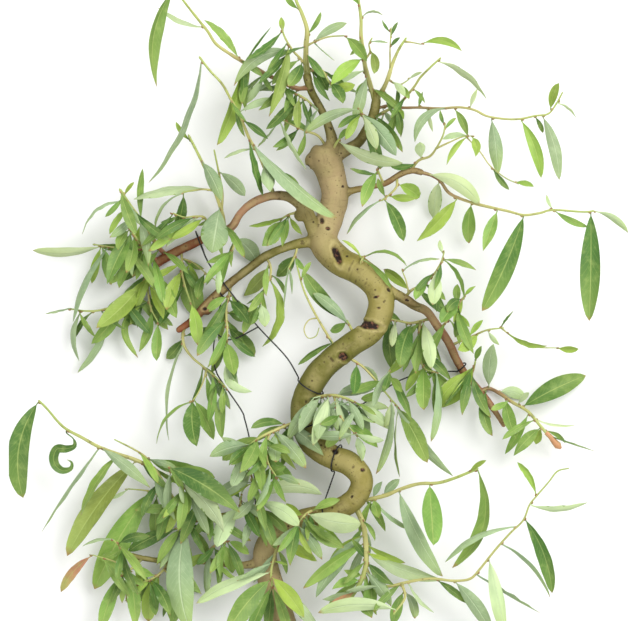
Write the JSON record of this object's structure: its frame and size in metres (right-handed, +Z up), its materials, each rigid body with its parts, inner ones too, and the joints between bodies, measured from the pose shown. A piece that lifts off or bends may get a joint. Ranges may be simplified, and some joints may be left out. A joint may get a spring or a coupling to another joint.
{
  "type": "curly willow branch",
  "caption": "Cut branch of curly willow with an S-curved stem, twisted side branches and narrow green leaves, lying flat.",
  "frame": {"origin": "the flat under the stem where it rests on the table, beside its cut end", "axes": "+Y from the cut end to the tip, +X to the right seen from above, +Z up from the table"},
  "size_m": [0.4332, 0.4658, 0.0648],
  "materials": {
    "bark": "matt bark",
    "leaf": "satin leaf",
    "wire": "black satin"
  },
  "bodies": {
    "root": {"shoot_arch_drop": "leaf", "shoot_arch_inner": "leaf", "shoot_arch_middle": "leaf", "shoot_bottom_end": "leaf", "shoot_bottom_inner": "leaf", "shoot_bottom_middle": "leaf", "shoot_bottom_tip": "leaf", "shoot_far_twig": "leaf", "shoot_front_left": "leaf", "shoot_front_right": "leaf", "shoot_hanging": "leaf", "shoot_knee": "leaf", "shoot_knob_front": "leaf", "shoot_knob_left": "leaf", "shoot_knob_right": "leaf", "shoot_leader": "leaf", "shoot_leader_low": "leaf", "shoot_left_arch": "leaf", "shoot_left_crook": "leaf", "shoot_left_end": "leaf", "shoot_left_inner": "leaf", "shoot_left_lower": "leaf", "shoot_left_middle": "leaf", "shoot_left_pair": "leaf", "shoot_left_under": "leaf", "shoot_left_upper": "leaf", "shoot_long_left": "leaf", "shoot_low_base": "leaf", "shoot_low_end": "leaf", "shoot_low_inner": "leaf", "shoot_low_long": "leaf", "shoot_low_middle": "leaf", "shoot_low_outer": "leaf", "shoot_low_right": "leaf", "shoot_low_snag": "leaf", "shoot_pale_twig": "leaf", "shoot_right_base": "leaf", "shoot_right_long": "leaf", "shoot_right_lower": "leaf", "shoot_right_upper": "leaf", "shoot_scar": "leaf", "shoot_stem_arc": "leaf", "shoot_stem_centre": "leaf", "shoot_stem_front": "leaf", "shoot_stem_middle": "leaf", "shoot_stem_twig": "leaf", "shoot_tine_left": "leaf", "shoot_tine_right": "leaf", "shoot_tip_down": "leaf", "shoot_tip_left": "leaf", "shoot_tip_upright": "leaf", "shoot_top_left": "leaf", "willow_wood": "bark", "wire_left": "wire", "wire_low": "wire", "wire_right": "wire"}
  },
  "joints": []
}
